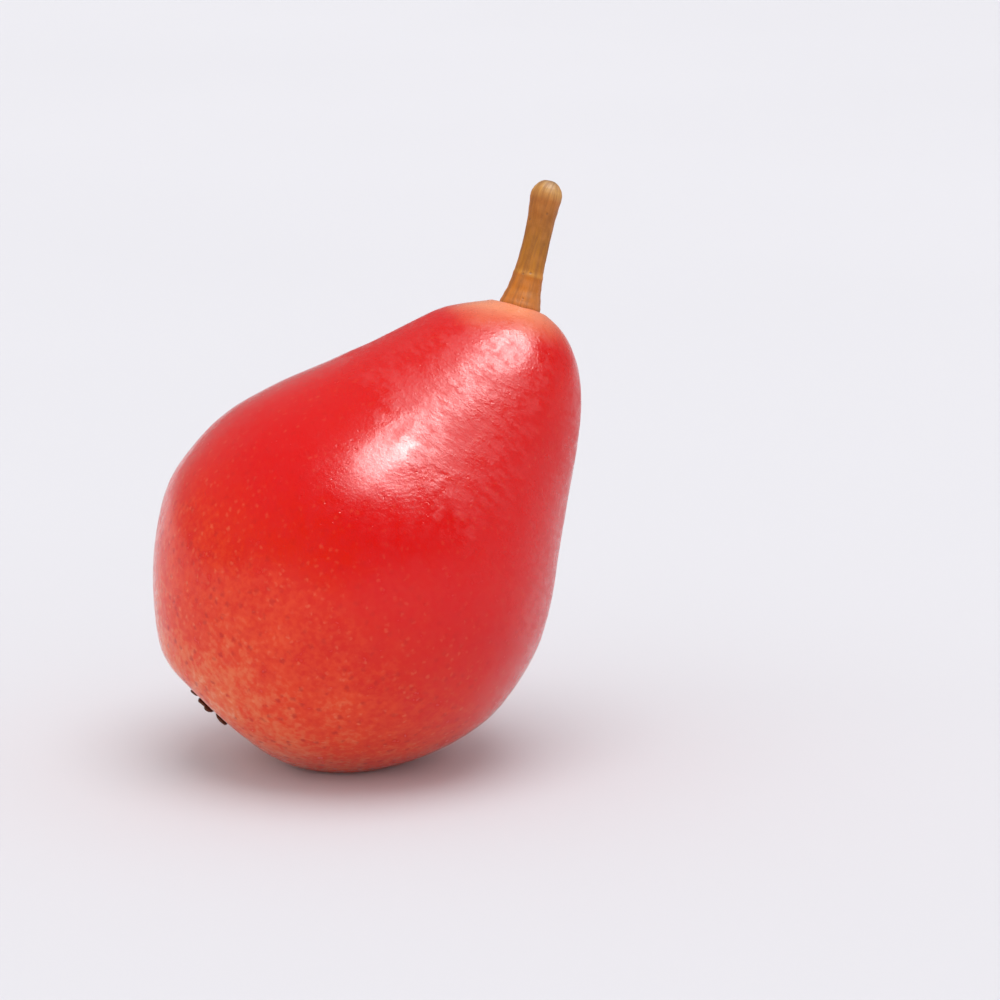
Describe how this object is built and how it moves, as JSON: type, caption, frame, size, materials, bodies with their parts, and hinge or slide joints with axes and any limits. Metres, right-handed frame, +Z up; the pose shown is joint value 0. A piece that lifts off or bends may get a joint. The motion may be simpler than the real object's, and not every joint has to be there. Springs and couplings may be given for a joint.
{
  "type": "pear",
  "caption": "Whole ripe red pear with a woody stem and a dried calyx, leaning as it rests on a small flat spot of its rounded base.",
  "frame": {"origin": "middle of the flat spot that the pear rests on, on the surface that it stands on", "axes": "+Z up; the pear's own axis leans 39.1 degrees from +Z towards +X, so the calyx faces down towards -X and the stem is at the +X end"},
  "size_m": [0.0781, 0.0728, 0.1043],
  "materials": {
    "skin": "waxy red fruit skin with pale lenticels, paler and more orange towards the calyx, soft gloss",
    "stem": "ochre-brown woody stem, faintly ridged, satin",
    "calyx": "dried dark brown sepals and stamens, matte"
  },
  "bodies": {
    "root": {"pear_body": "skin", "stem": "stem", "sepal_1": "calyx", "sepal_2": "calyx", "sepal_3": "calyx", "sepal_4": "calyx", "sepal_5": "calyx", "stamens": "calyx"}
  },
  "joints": []
}
